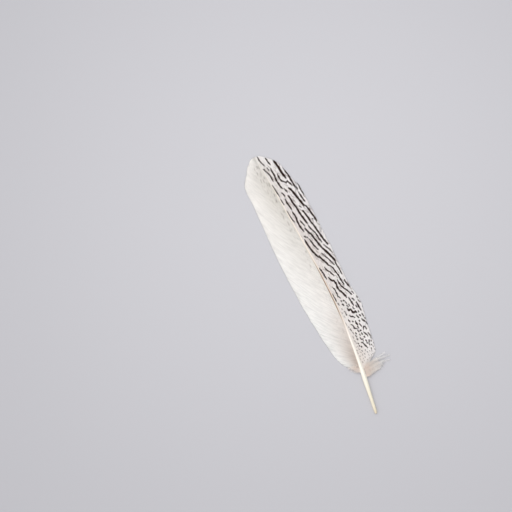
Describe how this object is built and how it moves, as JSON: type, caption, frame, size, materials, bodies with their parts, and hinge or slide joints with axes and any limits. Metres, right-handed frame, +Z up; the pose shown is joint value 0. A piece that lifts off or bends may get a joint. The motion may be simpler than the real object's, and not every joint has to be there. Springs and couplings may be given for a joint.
{
  "type": "pheasant tail feather",
  "caption": "Loose pheasant tail feather lying flat: a bowed horn shaft, a white inner vane, a dark-lined outer vane and downy tufts at the foot.",
  "frame": {"origin": "under the middle of the feather's box, on the surface that it lies on", "axes": "+Y from the quill to the tip, +X towards the outer, dark-lined vane, +Z up through the back of the feather"},
  "size_m": [0.047, 0.22, 0.0069],
  "materials": {
    "horn": "satin",
    "white_web": "matte",
    "lined_web": "matte",
    "down": "matte"
  },
  "bodies": {
    "root": {"shaft": "horn", "inner_vane": "white_web", "outer_vane": "lined_web", "inner_down": "down", "outer_down": "down"}
  },
  "joints": []
}
